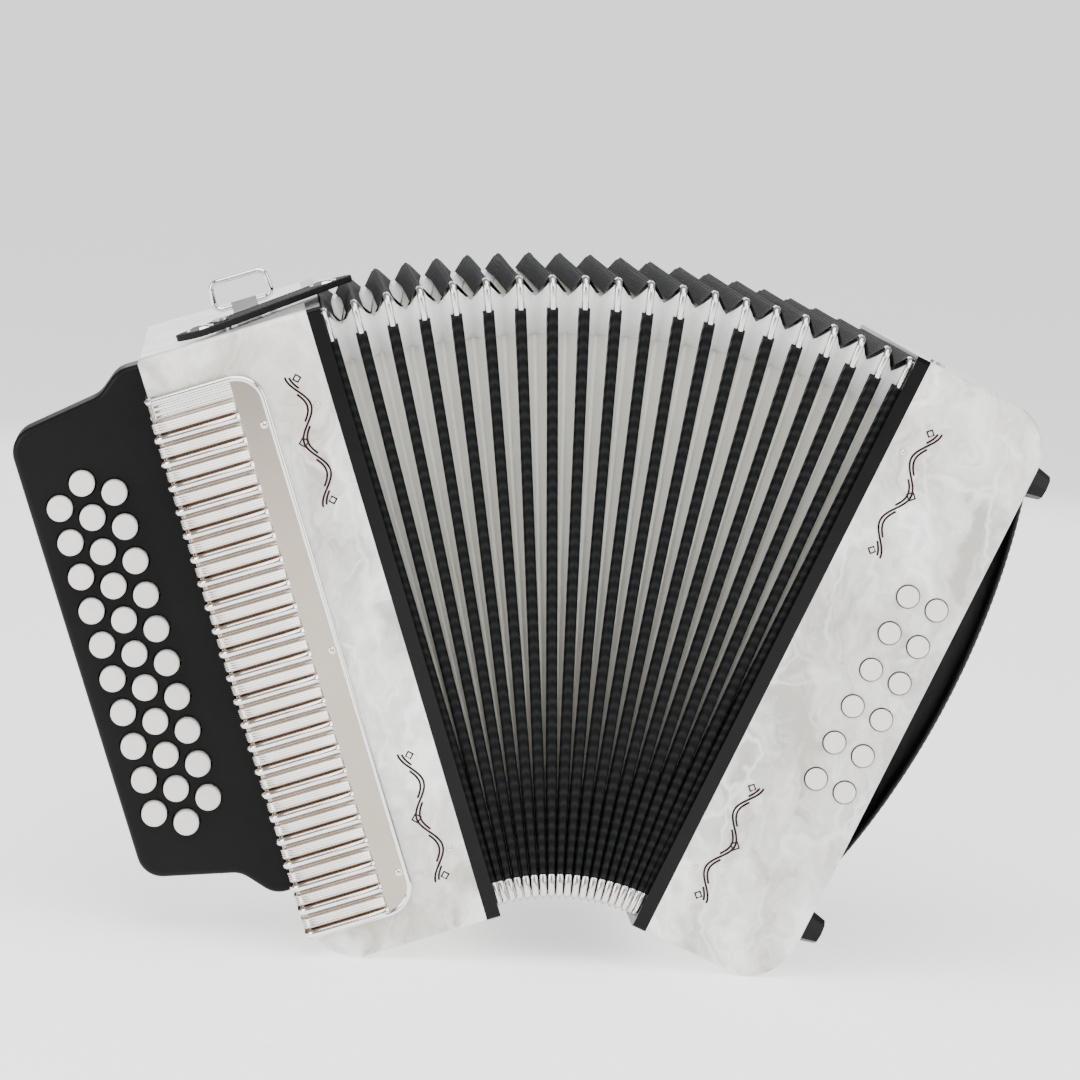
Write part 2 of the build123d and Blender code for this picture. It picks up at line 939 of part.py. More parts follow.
os.makedirs("parts", exist_ok=True)
for label, solids in pieces.items():
    piece = Compound(label=label, children=[solid.moved(stand) for solid in solids])
    export_step(piece, f"parts/{label}.step")
print("fan centre", -(low_x + high_x) / 2, -(low_y + high_y) / 2, -low_z)
print("tilts", treble_tilt, bass_tilt, "base", base, "radius", fan_radius)
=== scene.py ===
import json
import math

import bmesh
import bpy
from mathutils import Matrix, Vector


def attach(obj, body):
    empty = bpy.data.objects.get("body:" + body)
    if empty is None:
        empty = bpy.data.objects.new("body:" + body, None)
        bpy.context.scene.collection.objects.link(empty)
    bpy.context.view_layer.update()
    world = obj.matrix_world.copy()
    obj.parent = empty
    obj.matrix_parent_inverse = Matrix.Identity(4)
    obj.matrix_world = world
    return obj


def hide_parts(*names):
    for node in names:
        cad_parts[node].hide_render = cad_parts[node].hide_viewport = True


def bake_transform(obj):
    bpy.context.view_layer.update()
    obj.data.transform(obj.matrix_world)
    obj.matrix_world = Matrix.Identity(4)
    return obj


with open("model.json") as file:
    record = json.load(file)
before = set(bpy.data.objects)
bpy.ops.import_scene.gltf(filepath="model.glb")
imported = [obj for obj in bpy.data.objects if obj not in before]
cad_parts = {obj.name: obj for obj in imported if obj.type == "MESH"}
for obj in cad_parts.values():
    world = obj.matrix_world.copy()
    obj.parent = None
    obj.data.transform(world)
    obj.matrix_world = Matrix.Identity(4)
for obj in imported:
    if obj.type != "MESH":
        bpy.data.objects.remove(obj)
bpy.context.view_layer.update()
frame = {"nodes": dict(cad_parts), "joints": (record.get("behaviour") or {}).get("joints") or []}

# The two sides stand in a fan. Each is drawn upright about the fan's centre and swung to its place.
casing = {
    "height": 0.311,
    "halfDepth": 0.092,
    "frameThick": 0.007,
    "bassWidth": 0.0713,
    "base": 0.089114,  # casing bottoms above the fan's centre
    "fanReach": 0.093714,  # lowest ridge edges from the fan's centre
}

joints = {joint["name"]: joint for joint in frame["joints"]}
keyAxis = joints["key_treble_01_press"]["axis"]
airAxis = joints["air_button_press"]["axis"]
pivot = Vector(joints["accordion_fold"]["pos_m"])
trebleTilt = math.atan2(keyAxis[0], -keyAxis[2])
bassTilt = math.atan2(airAxis[2], -airAxis[0])
fanAngle = trebleTilt + bassTilt
lean = (bassTilt - trebleTilt) / 2
fanCentre = pivot - casing["fanReach"] * Vector((math.sin(lean), 0, math.cos(lean)))


def fanPlace(angle):
    # Swings what is drawn upright about the origin to an angle in the fan, from the treble frame
    return Matrix.Translation(fanCentre) @ Matrix.Rotation(angle - trebleTilt, 4, "Y")


treblePlace = fanPlace(0)
bassPlace = fanPlace(fanAngle)


def treblePoint(out, depth, up):
    return Vector((-(casing["frameThick"] + out), depth, casing["base"] + up))


def bassPoint(out, depth, up):
    return Vector((casing["frameThick"] + out, depth, casing["base"] + up))


# Making and finishing pieces

sharpAngle = math.radians(38)  # steeper edges stay hard


def makePiece(name, bm, place, material, body=None, smooth=True):
    bmesh.ops.recalc_face_normals(bm, faces=bm.faces)
    bm.transform(place)
    mesh = bpy.data.meshes.new(name)
    bm.to_mesh(mesh)
    bm.free()
    for face in mesh.polygons:
        face.use_smooth = smooth
    piece = bpy.data.objects.new(name, mesh)
    bpy.context.collection.objects.link(piece)
    mesh.materials.append(material)
    if smooth:
        mesh.set_sharp_from_angle(angle=sharpAngle)
    if body:
        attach(piece, body)
    return piece


def bevelAll(bm, edges, size, steps=2):
    bmesh.ops.bevel(
        bm, geom=edges, offset=size, segments=steps, profile=0.5, affect="EDGES", material=-1,
        clamp_overlap=True,
    )


def addBlock(bm, size, centre, bevel=0.0, turn=Matrix()):
    place = Matrix.Translation(centre) @ turn @ Matrix.Diagonal((*size, 1))
    made = bmesh.ops.create_cube(bm, size=1, matrix=place)
    if bevel:
        edges = {edge for vert in made["verts"] for edge in vert.link_edges}
        bevelAll(bm, list(edges), bevel)


def addDome(bm, radius, height, place, segments=20):
    # A flattened ball, half sunk in what it sits on
    bmesh.ops.create_uvsphere(
        bm, u_segments=segments, v_segments=10, radius=1,
        matrix=place @ Matrix.Diagonal((radius, radius, height, 1)),
    )


def addLoop(bm, halfDepth, low, high, radius, place, steps=4):
    # Rounded rectangle of edges on the plane x = 0, from low to high, its corners in order
    made = bmesh.ops.create_circle(
        bm, cap_ends=False, segments=4 * steps, radius=radius,
        matrix=Matrix.Rotation(math.pi / 2, 4, "Y") @ Matrix.Rotation(math.pi / (4 * steps), 4, "Z"),
    )
    middle = (low + high) / 2
    for vert in made["verts"]:
        vert.co.y += math.copysign(halfDepth - radius, vert.co.y)
        vert.co.z += math.copysign((high - low) / 2 - radius, vert.co.z) + middle
    bmesh.ops.transform(bm, matrix=place, verts=made["verts"])
    return made["verts"]


def loopEdges(verts):
    ring = set(verts)
    return list({edge for vert in verts for edge in vert.link_edges if edge.other_vert(vert) in ring})


def copyInto(bm, mesh, place):
    before = len(bm.verts)
    bm.from_mesh(mesh)
    bm.verts.ensure_lookup_table()
    bmesh.ops.transform(bm, matrix=place, verts=bm.verts[before:])


# Materials


def newMaterial(name, color=(0.8, 0.8, 0.8), roughness=0.5, metallic=0.0, **sockets):
    material = bpy.data.materials.new(name)
    material.use_nodes = True
    shader = material.node_tree.nodes["Principled BSDF"]
    shader.inputs["Base Color"].default_value = (*color, 1)
    shader.inputs["Roughness"].default_value = roughness
    shader.inputs["Metallic"].default_value = metallic
    for key, value in sockets.items():
        shader.inputs[key.replace("_", " ")].default_value = value
    return material


def addNode(material, kind, inputs=None, **settings):
    made = material.node_tree.nodes.new(kind)
    for key, value in settings.items():
        setattr(made, key, value)
    for key, value in (inputs or {}).items():
        if isinstance(value, bpy.types.NodeSocket):
            material.node_tree.links.new(value, made.inputs[key])
        else:
            made.inputs[key].default_value = value
    return made


def objectCoords(material):
    return addNode(material, "ShaderNodeTexCoord").outputs["Object"]


def alongCoords(material):
    # A sheet's own coordinates, in metres or shares along and across it
    uv = addNode(material, "ShaderNodeUVMap", uv_map="along").outputs["UV"]
    split = addNode(material, "ShaderNodeSeparateXYZ", {"Vector": uv})
    return split.outputs["X"], split.outputs["Y"]


def mathNode(material, operation, first, second=0.0):
    return addNode(material, "ShaderNodeMath", {0: first, 1: second}, operation=operation).outputs[0]


def waveNode(material, value, pitch):
    return mathNode(material, "SINE", mathNode(material, "MULTIPLY", value, 2 * math.pi / pitch))


def rampNode(material, factor, stops):
    ramp = addNode(material, "ShaderNodeValToRGB", {"Fac": factor})
    elements = ramp.color_ramp.elements
    while len(elements) < len(stops):
        elements.new(0.5)
    for element, (at, color) in zip(elements, stops):
        element.position = at
        element.color = (*color, 1)
    return ramp.outputs["Color"]


def noiseNode(material, vector, scale, detail=4.0, roughness=0.55, distortion=0.0):
    return addNode(
        material, "ShaderNodeTexNoise",
        {
            "Vector": vector, "Scale": scale, "Detail": detail, "Roughness": roughness,
            "Distortion": distortion,
        },
    )


def noiseValue(*settings):
    return noiseNode(*settings).outputs["Fac"]


def useColor(material, color):
    material.node_tree.links.new(color, material.node_tree.nodes["Principled BSDF"].inputs["Base Color"])


def useTones(material, factor, dark, pale):
    useColor(material, rampNode(material, factor, [(0.3, dark), (0.7, pale)]))


def useRoughness(material, factor, low, high):
    spread = addNode(
        material, "ShaderNodeMapRange", {"Value": factor, "To Min": low, "To Max": high}
    ).outputs["Result"]
    material.node_tree.links.new(spread, material.node_tree.nodes["Principled BSDF"].inputs["Roughness"])


def useBump(material, height, strength, distance):
    bump = addNode(
        material, "ShaderNodeBump", {"Height": height, "Strength": strength, "Distance": distance}
    ).outputs["Normal"]
    material.node_tree.links.new(bump, material.node_tree.nodes["Principled BSDF"].inputs["Normal"])


def mixColor(material, factor, first, second, blend="MIX"):
    node = addNode(material, "ShaderNodeMix", data_type="RGBA", blend_type=blend)
    for socket, value in ((node.inputs[0], factor), (node.inputs[6], first), (node.inputs[7], second)):
        if isinstance(value, bpy.types.NodeSocket):
            material.node_tree.links.new(value, socket)
        elif socket.type == "VALUE":
            socket.default_value = value
        else:
            socket.default_value = (*value, 1)
    return node.outputs[2]


def makePearl():
    # Feathered mother-of-pearl celluloid under a polished face
    pearl = newMaterial("pearlCelluloid", (0.80, 0.79, 0.76), 0.2, Coat_Weight=0.5, Coat_Roughness=0.06)
    coords = objectCoords(pearl)
    warp = noiseNode(pearl, coords, 22, 3, 0.6)
    moved = addNode(
        pearl, "ShaderNodeVectorMath", {0: warp.outputs["Color"], 1: (0.055, 0.055, 0.055)},
        operation="MULTIPLY",
    ).outputs[0]
    swirl = addNode(pearl, "ShaderNodeVectorMath", {0: coords, 1: moved}, operation="ADD").outputs[0]
    swirl = addNode(
        pearl, "ShaderNodeMapping",
        {"Vector": swirl, "Rotation": (0.3, 0.75, 0.2), "Scale": (1.0, 1.0, 0.36)},
    ).outputs["Vector"]
    flakes = addNode(
        pearl, "ShaderNodeTexVoronoi",
        {"Vector": swirl, "Scale": 52.0, "Smoothness": 0.6, "Randomness": 1.0},
        feature="SMOOTH_F1",
    )
    tone = addNode(pearl, "ShaderNodeSeparateColor", {"Color": flakes.outputs["Color"]}).outputs[0]
    feather = noiseValue(pearl, swirl, 75, 5, 0.62, 0.9)
    cloud = noiseValue(pearl, coords, 16, 3, 0.5, 0.4)
    lively = mathNode(
        pearl, "ADD", mathNode(pearl, "MULTIPLY", tone, 0.3), mathNode(pearl, "MULTIPLY", feather, 0.7)
    )
    base = rampNode(
        pearl, lively,
        [
            (0.30, (0.42, 0.405, 0.365)), (0.45, (0.61, 0.60, 0.56)),
            (0.56, (0.72, 0.71, 0.68)), (0.70, (0.93, 0.93, 0.92)),
        ],
    )
    warm = rampNode(pearl, cloud, [(0.35, (1.0, 0.985, 0.955)), (0.65, (0.975, 0.985, 0.985))])
    shards = addNode(
        pearl, "ShaderNodeTexVoronoi", {"Vector": swirl, "Scale": 34.0, "Randomness": 1.0},
        feature="DISTANCE_TO_EDGE",
    )
    crease = rampNode(pearl, shards.outputs["Distance"], [(0.0, (1.0, 1.0, 1.0)), (0.05, (0.0, 0.0, 0.0))])
    faint = rampNode(pearl, cloud, [(0.42, (0.0, 0.0, 0.0)), (0.62, (0.6, 0.6, 0.6))])
    bright = addNode(
        pearl, "ShaderNodeSeparateColor", {"Color": mixColor(pearl, 1.0, crease, faint, "MULTIPLY")}
    ).outputs[0]
    tinted = mixColor(pearl, 1.0, base, warm, "MULTIPLY")
    useColor(pearl, mixColor(pearl, bright, tinted, (0.95, 0.95, 0.94)))
    useRoughness(pearl, lively, 0.27, 0.14)
    return pearl


def makeSatinBlack():
    black = newMaterial("satinBoard", (0.004, 0.004, 0.004), 0.38, Specular_IOR_Level=0.12)
    coords = objectCoords(black)
    fine = noiseValue(black, coords, 900, 2, 0.5)
    broad = noiseValue(black, coords, 14, 4, 0.6)
    useTones(black, broad, (0.003, 0.003, 0.003), (0.0055, 0.0053, 0.005))
    useRoughness(black, broad, 0.34, 0.46)
    useBump(black, fine, 0.12, 0.0002)
    return black


def makeKeyFinish():
    # Cap, wire lever and felted pallet follow each other from front to back, so depth tells them apart
    capEnd, leverEnd = -0.0535, -0.0385
    finish = newMaterial("keyFinish", (0.8, 0.77, 0.72), 0.3)
    coords = objectCoords(finish)
    depth = addNode(finish, "ShaderNodeSeparateXYZ", {"Vector": coords}).outputs["Y"]
    speck = noiseValue(finish, coords, 160, 3)
    cap = rampNode(finish, speck, [(0.3, (0.70, 0.675, 0.635)), (0.7, (0.76, 0.735, 0.70))])
    metal = rampNode(finish, speck, [(0.3, (0.42, 0.42, 0.43)), (0.7, (0.55, 0.55, 0.56))])
    felt = rampNode(finish, speck, [(0.3, (0.20, 0.035, 0.03)), (0.7, (0.28, 0.05, 0.04))])
    pastCap = mathNode(finish, "GREATER_THAN", depth, capEnd)
    pastLever = mathNode(finish, "GREATER_THAN", depth, leverEnd)
    useColor(finish, mixColor(finish, pastLever, mixColor(finish, pastCap, cap, metal), felt))
    useRoughness(finish, speck, 0.26, 0.36)
    return finish


def makeBassKeyCapAndPaintedShade():
    # Behind its cap a bass key is painted near black, a painted shade that darkens the gap round the cap
    capEnd = -0.0972
    finish = newMaterial("bassKeyCapAndPaintedShade", (0.8, 0.77, 0.72), 0.3)
    coords = objectCoords(finish)
    speck = noiseValue(finish, coords, 160, 3)
    cap = rampNode(finish, speck, [(0.3, (0.72, 0.68, 0.64)), (0.7, (0.77, 0.735, 0.70))])
    depth = addNode(finish, "ShaderNodeSeparateXYZ", {"Vector": coords}).outputs["Y"]
    pastCap = mathNode(finish, "GREATER_THAN", depth, capEnd)
    useColor(finish, mixColor(finish, pastCap, cap, (0.02, 0.008, 0.008)))
    useRoughness(finish, speck, 0.26, 0.36)
    return finish


def makeChrome(name="brightChrome", color=(0.82, 0.82, 0.83), low=0.05, high=0.13):
    chrome = newMaterial(name, color, low, 1.0)
    coords = objectCoords(chrome)
    haze = noiseValue(chrome, coords, 55, 4, 0.6)
    useRoughness(chrome, haze, low, high)
    useTones(chrome, haze, tuple(c * 0.94 for c in color), color)
    return chrome


def makeGlossBlack(name="glossFrame", low=0.1, high=0.2):
    gloss = newMaterial(name, (0.003, 0.003, 0.003), low, Specular_IOR_Level=0.14)
    coords = objectCoords(gloss)
    haze = noiseValue(gloss, coords, 40, 4, 0.6)
    useRoughness(gloss, haze, low, high)
    useTones(gloss, haze, (0.002, 0.002, 0.002), (0.004, 0.0038, 0.0036))
    return gloss


def makeFoldCard():
    # Pressed card with a fine paper tooth
    card = newMaterial("foldCard", (0.6, 0.59, 0.54), 0.55)
    coords = objectCoords(card)
    fibre = noiseValue(card, coords, 420, 4, 0.6)
    cloud = noiseValue(card, coords, 30, 3)
    useTones(card, cloud, (0.80, 0.79, 0.735), (0.86, 0.85, 0.80))
    useRoughness(card, fibre, 0.45, 0.62)
    useBump(card, fibre, 0.25, 0.0002)
    return card


def makeChevronTape():
    # Woven binding with small chevrons that run along it
    chevronPitch, threadPitch = 0.0056, 0.0009
    tape = newMaterial("chevronTape", (0.01, 0.01, 0.01), 0.6, Specular_IOR_Level=0.12)
    along, across = alongCoords(tape)
    slant = mathNode(tape, "ABSOLUTE", across)
    wave = waveNode(tape, mathNode(tape, "ADD", along, slant), chevronPitch)
    thread = waveNode(tape, along, threadPitch)
    height = mathNode(tape, "ADD", wave, mathNode(tape, "MULTIPLY", thread, 0.35))
    level = addNode(
        tape, "ShaderNodeMapRange", {"Value": wave, "From Min": -1.0, "From Max": 1.0}
    ).outputs["Result"]
    useColor(tape, rampNode(tape, level, [(0.45, (0.001, 0.001, 0.0012)), (0.95, (0.006, 0.0065, 0.007))]))
    useRoughness(tape, level, 0.7, 0.42)
    useBump(tape, height, 0.22, 0.0003)
    return tape


def makeRibbedCloth():
    ribPitch, threadPitch = 0.0016, 0.0011
    cloth = newMaterial("ribbedCloth", (0.06, 0.06, 0.065), 0.75, Specular_IOR_Level=0.2)
    along, across = alongCoords(cloth)
    rib = waveNode(cloth, along, ribPitch)
    thread = waveNode(cloth, across, threadPitch)
    height = mathNode(cloth, "ADD", rib, mathNode(cloth, "MULTIPLY", thread, 0.4))
    level = addNode(
        cloth, "ShaderNodeMapRange", {"Value": height, "From Min": -1.4, "From Max": 1.4}
    ).outputs["Result"]
    useColor(cloth, rampNode(cloth, level, [(0.3, (0.012, 0.012, 0.013)), (0.8, (0.045, 0.045, 0.048))]))
    useRoughness(cloth, level, 0.85, 0.6)
    useBump(cloth, height, 0.5, 0.0004)
    return cloth


def makeLeather():
    leather = newMaterial("blackLeather", (0.005, 0.005, 0.006), 0.6, Specular_IOR_Level=0.15)
    coords = objectCoords(leather)
    grain = addNode(
        leather, "ShaderNodeTexVoronoi", {"Vector": coords, "Scale": 850.0}, feature="DISTANCE_TO_EDGE"
    )
    crease = noiseValue(leather, coords, 90, 4, 0.6, 0.5)
    pebble = mathNode(leather, "MINIMUM", grain.outputs["Distance"], 0.25)
    height = mathNode(leather, "ADD", mathNode(leather, "MULTIPLY", pebble, 3.0), crease)
    useTones(leather, crease, (0.003, 0.003, 0.0035), (0.009, 0.0085, 0.009))
    useRoughness(leather, crease, 0.5, 0.68)
    useBump(leather, height, 0.35, 0.0003)
    return leather


def makeInk():
    ink = newMaterial("inlayInk", (0.012, 0.003, 0.004), 0.25, Specular_IOR_Level=0.2)
    blotch = noiseValue(ink, objectCoords(ink), 300, 3)
    useColor(ink, rampNode(ink, blotch, [(0.35, (0.010, 0.002, 0.003)), (0.65, (0.018, 0.004, 0.006))]))
    useRoughness(ink, blotch, 0.2, 0.35)
    return ink


def makeReedWood():
    wood = newMaterial("reedWood", (0.45, 0.3, 0.17), 0.6)
    stretched = addNode(
        wood, "ShaderNodeMapping", {"Vector": objectCoords(wood), "Scale": (60.0, 60.0, 8.0)}
    ).outputs["Vector"]
    grain = noiseValue(wood, stretched, 3, 5, 0.6, 0.6)
    useTones(wood, grain, (0.30, 0.19, 0.10), (0.50, 0.36, 0.21))
    useRoughness(wood, grain, 0.5, 0.7)
    return wood


def makeLouvreChrome():
    # The pads between the blades carry fine ribs; painted shade darkens the grooves and the slots below
    # them, and brown painted reflections band the pad and blade edges
    padEnd, ribPitch = 0.49, 0.1  # as shares of one pitch of the louvres
    louvre = makeChrome("louvreChrome", (0.84, 0.84, 0.85), 0.07, 0.15)
    share = alongCoords(louvre)[1]
    pad = mathNode(louvre, "LESS_THAN", share, padEnd)
    rib = waveNode(louvre, share, ribPitch)
    useBump(louvre, mathNode(louvre, "MULTIPLY", rib, pad), 0.5, 0.0006)
    haze = noiseValue(louvre, objectCoords(louvre), 70, 3, 0.6)
    # Painted shade and painted reflection: dark and brown bands across each pitch of the louvres
    shadeAndReflectionBands = rampNode(
        louvre, share,
        [
            (0.0, (0.26, 0.21, 0.17)), (0.05, (0.84, 0.83, 0.81)), (0.40, (0.80, 0.78, 0.75)),
            (0.47, (0.42, 0.34, 0.27)), (0.54, (0.16, 0.13, 0.11)), (0.60, (0.62, 0.52, 0.42)),
            (0.67, (0.88, 0.88, 0.89)), (0.82, (0.86, 0.86, 0.87)), (0.90, (0.55, 0.46, 0.38)),
            (0.97, (0.14, 0.12, 0.11)),
        ],
    )
    cloudy = rampNode(louvre, haze, [(0.35, (0.90, 0.88, 0.86)), (0.6, (1.0, 1.0, 1.0))])
    useColor(louvre, mixColor(louvre, 1.0, shadeAndReflectionBands, cloudy, "MULTIPLY"))
    return louvre


def makeGussetSkin():
    skin = newMaterial("gussetSkin", (0.8, 0.8, 0.78), 0.42)
    coords = objectCoords(skin)
    crease = noiseValue(skin, coords, 120, 4, 0.6, 0.4)
    useTones(skin, crease, (0.76, 0.76, 0.745), (0.84, 0.84, 0.83))
    useRoughness(skin, crease, 0.34, 0.5)
    useBump(skin, crease, 0.25, 0.0006)
    return skin


def makeThread():
    cord = newMaterial("stitchThread", (0.02, 0.02, 0.022), 0.6)
    fuzz = noiseValue(cord, objectCoords(cord), 1400, 2)
    useTones(cord, fuzz, (0.012, 0.012, 0.013), (0.045, 0.045, 0.048))
    useRoughness(cord, fuzz, 0.5, 0.7)
    return cord


def makeFloor():
    floor = newMaterial("paleFloor", (0.86, 0.86, 0.86), 0.85, Specular_IOR_Level=0.0)
    shader = floor.node_tree.nodes["Principled BSDF"]
    shader.inputs["Emission Color"].default_value = (1, 1, 1, 1)
    shader.inputs["Emission Strength"].default_value = 1.1
    soft = noiseValue(floor, objectCoords(floor), 3, 2)
    useTones(floor, soft, (0.85, 0.85, 0.85), (0.87, 0.87, 0.87))
    return floor


pearl = makePearl()
satinBoard = makeSatinBlack()
keyFinish = makeKeyFinish()
bassKeyCapAndPaintedShade = makeBassKeyCapAndPaintedShade()
chrome = makeChrome()
nickel = makeChrome("cornerNickel", (0.72, 0.70, 0.67), 0.16, 0.26)
steel = makeChrome("zincSteel", (0.55, 0.55, 0.56), 0.28, 0.4)
glossFrame = makeGlossBlack()
footRubber = makeGlossBlack("footResin", 0.25, 0.38)
foldCard = makeFoldCard()
chevronTape = makeChevronTape()
ribbedCloth = makeRibbedCloth()
leather = makeLeather()
ink = makeInk()
reedWood = makeReedWood()
plateChrome = makeChrome("plateChrome", (0.44, 0.385, 0.32), 0.08, 0.16)
louvreChrome = makeLouvreChrome()
warmPin = makeChrome("warmPin", (0.78, 0.68, 0.60), 0.12, 0.22)
gussetSkin = makeGussetSkin()
thread = makeThread()
print("materials ready")


def finishNode(name, material):
    node = frame["nodes"][name]
    node.data.materials.clear()
    node.data.materials.append(material)


for nodeName in frame["nodes"]:
    if nodeName.startswith("treble_key"):
        finishNode(nodeName, keyFinish)
    elif nodeName.startswith("bass_key"):
        finishNode(nodeName, bassKeyCapAndPaintedShade)
for nodeName, material in {
    "treble_casing": pearl,
    "bass_casing": pearl,
    "fingerboard": satinBoard,
    "treble_reed_pan": reedWood,
    "bass_reed_pan": reedWood,
    "treble_metalwork": steel,
    "bass_metalwork": steel,
    "treble_bellows_frame": glossFrame,
    "bass_bellows_frame": glossFrame,
    "bass_end_cover": satinBoard,
    "bass_feet": footRubber,
    "air_button": glossFrame,
    "strap_loop": chrome,
    "treble_grille": chrome,
}.items():
    finishNode(nodeName, material)
print("carried-over nodes finished")


# Bellows

bellows = {
    "ridges": 20,
    "ease": 0.04,  # how much less the last folds open
    "low": 0.0937137,
    "high": 0.3971137,
    "halfDepth": 0.088,
    "foldDepth": 0.020,
    "ridgeRound": 0.004,
    "valleyRound": 0.0015,
    "cardThick": 0.0007,
    "endInset": 0.0012,
    "valleyFrom": 0.44,  # as shares of one fold
    "valleyTo": 0.56,
    "endShift": 0.0009,  # keeps the end ridges clear of the frames
    "crowd": 0.485,  # share of the gap between ridges that a binding may fill on either side
}


def foldAngle(share):
    return fanAngle * ((1 + bellows["ease"]) * share - bellows["ease"] * share**5)


def foldPlace(share):
    return fanPlace(foldAngle(share))


def foldWith(piece):
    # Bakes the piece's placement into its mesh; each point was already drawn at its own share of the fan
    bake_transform(piece)


def makeFolds():
    settings = bellows
    bm = bmesh.new()
    rings = []
    folds = settings["ridges"] - 1
    stations = [(0, False)]
    for fold in range(folds):
        stations += [
            (fold + settings["valleyFrom"], True), (fold + settings["valleyTo"], True), (fold + 1, False)
        ]
    for station, valley in stations:
        inset = settings["foldDepth"] if valley else settings["endInset"]
        rings.append(
            addLoop(
                bm, settings["halfDepth"] - inset, settings["low"] + inset, settings["high"] - inset,
                settings["valleyRound"] if valley else settings["ridgeRound"], foldPlace(station / folds),
            )
        )
    for first, second in zip(rings, rings[1:]):
        bmesh.ops.bridge_loops(bm, edges=loopEdges(first) + loopEdges(second))
    bmesh.ops.recalc_face_normals(bm, faces=bm.faces)
    # The top has to look up before the card gets its thickness
    probe = max(bm.faces, key=lambda face: face.calc_center_median().z)
    if probe.normal.z < 0:
        bmesh.ops.reverse_faces(bm, faces=bm.faces)
    bmesh.ops.solidify(bm, geom=bm.faces, thickness=settings["cardThick"])
    piece = makePiece("bellowsFolds", bm, Matrix(), foldCard, smooth=False)
    foldWith(piece)
    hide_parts("bellows_folds")


makeFolds()

tape = {
    "rows": 24,
    "lowGap": 0.0095,  # from the bellows' corners
    "highGap": 0.0145,
    "halfWide": 0.0027,
    "footFrom": 0.004,  # deeper than this it lies on the fold's face
    "faceGap": 0.0003,
    "weaveHalf": 0.0035,
}

# Half of the binding's profile, from its crown down a face of the fold: inset and share of the half width
tapeProfile = [(-0.0008, 0.0), (-0.0005, 0.55), (0.0006, 0.9), (0.0024, 1.0), (0.0046, 0.98), (0.0068, 0.6)]


def ridgeShare(index):
    return index / (bellows["ridges"] - 1)


def ridgeShift(index):
    return bellows["endShift"] * ((index == 0) - (index == bellows["ridges"] - 1))


def ridgeGap(radius):
    return radius * fanAngle / (bellows["ridges"] - 1)


def faceShift(radius, inset):
    # Sideways distance of a fold's face from its ridge, at an inset from the ridge
    return ridgeGap(radius) / 2 * inset / bellows["foldDepth"]


def addSheet(bm, columns, rows, shape, layer, uv):
    made = bmesh.ops.create_grid(bm, x_segments=columns, y_segments=rows, size=0.5)
    spots = {vert: (vert.co.x + 0.5, vert.co.y + 0.5) for vert in made["verts"]}
    for face in {face for vert in spots for face in vert.link_faces}:
        for loop in face.loops:
            loop[layer].uv = uv(*spots[loop.vert])
    for vert, spot in spots.items():
        vert.co = shape(*spot)


def alongProfile(profile, share):
    spot = min(abs(share), 1) * (len(profile) - 1)
    low = min(int(spot), len(profile) - 2)
    part = spot - low
    return [a + (b - a) * part for a, b in zip(profile[low], profile[low + 1])]


def makeRidgeTape():
    bm = bmesh.new()
    along = bm.loops.layers.uv.new("along")
    low = bellows["low"] + tape["lowGap"]
    high = bellows["high"] - tape["highGap"]
    for index in range(bellows["ridges"]):
        place = foldPlace(ridgeShare(index)) @ Matrix.Translation((ridgeShift(index), 0, 0))
        for side in (-1, 1):

            def shape(across, run):
                height = low + (high - low) * run
                share = 2 * across - 1
                inset, wide = alongProfile(tapeProfile, share)
                half = min(tape["halfWide"], bellows["crowd"] * ridgeGap(height))
                onFace = faceShift(height, inset) + tape["faceGap"] if inset > tape["footFrom"] else 0
                out = math.copysign(max(half * wide, onFace), share)
                return place @ Vector((out, side * (bellows["halfDepth"] - inset), height))

            addSheet(
                bm, 10, tape["rows"], shape, along,
                lambda across, run: (low + (high - low) * run, (2 * across - 1) * tape["weaveHalf"]),
            )
    piece = makePiece("ridgeTape", bm, Matrix(), chevronTape)
    foldWith(piece)


makeRidgeTape()

ribbon = {
    "rows": 14,
    "leg": 0.0104,
    "endGap": 0.0045,
    "gusset": 0.028,  # how far the corner gussets reach from a corner
    "gussetDepth": 0.0095,  # depth of a gusset's valley at the corner
    "gussetEdge": 0.0006,
    "crown": 0.0011,
    "crownHalf": 0.0009,
    "weaveWide": 0.022,
}


def valleyInset(away):
    # The valley is shallow at a corner, where the gusset fills it
    part = min(max(away / ribbon["gusset"], 0), 1)
    return ribbon["gussetDepth"] + (bellows["foldDepth"] - ribbon["gussetDepth"]) * part**1.3


def makeRidgeRibbon():
    bm = bmesh.new()
    along = bm.loops.layers.uv.new("along")
    half = bellows["halfDepth"] - ribbon["endGap"]
    for index in range(bellows["ridges"]):
        place = foldPlace(ridgeShare(index)) @ Matrix.Translation((ridgeShift(index), 0, 0))
        for upper in (True, False):

            def shape(across, run):
                # Rows crowd toward both ends, where the legs flare over the gussets
                ease = 0.5 - 0.5 * math.cos(math.pi * run)
                depth = -half + 2 * half * ease
                share = 2 * across - 1
                height = bellows["high"] if upper else bellows["low"]
                slope = math.atan2(ridgeGap(height) / 2, valleyInset(bellows["halfDepth"] - abs(depth)))
                leg = abs(share) * ribbon["leg"]
                out = min(ribbon["crownHalf"], abs(share) * 0.006) + leg * math.sin(slope)
                inset = leg * math.cos(slope) - ribbon["crown"]
                out = min(out, bellows["crowd"] * ridgeGap(height))
                return place @ Vector(
                    (math.copysign(out, share), depth, height + (-inset if upper else inset))
                )

            addSheet(
                bm, 10, ribbon["rows"], shape, along,
                lambda across, run: (
                    2 * half * (0.5 - 0.5 * math.cos(math.pi * run)), across * ribbon["weaveWide"]
                ),
            )
    piece = makePiece("ridgeRibbon", bm, Matrix(), ribbedCloth)
    foldWith(piece)


makeRidgeRibbon()


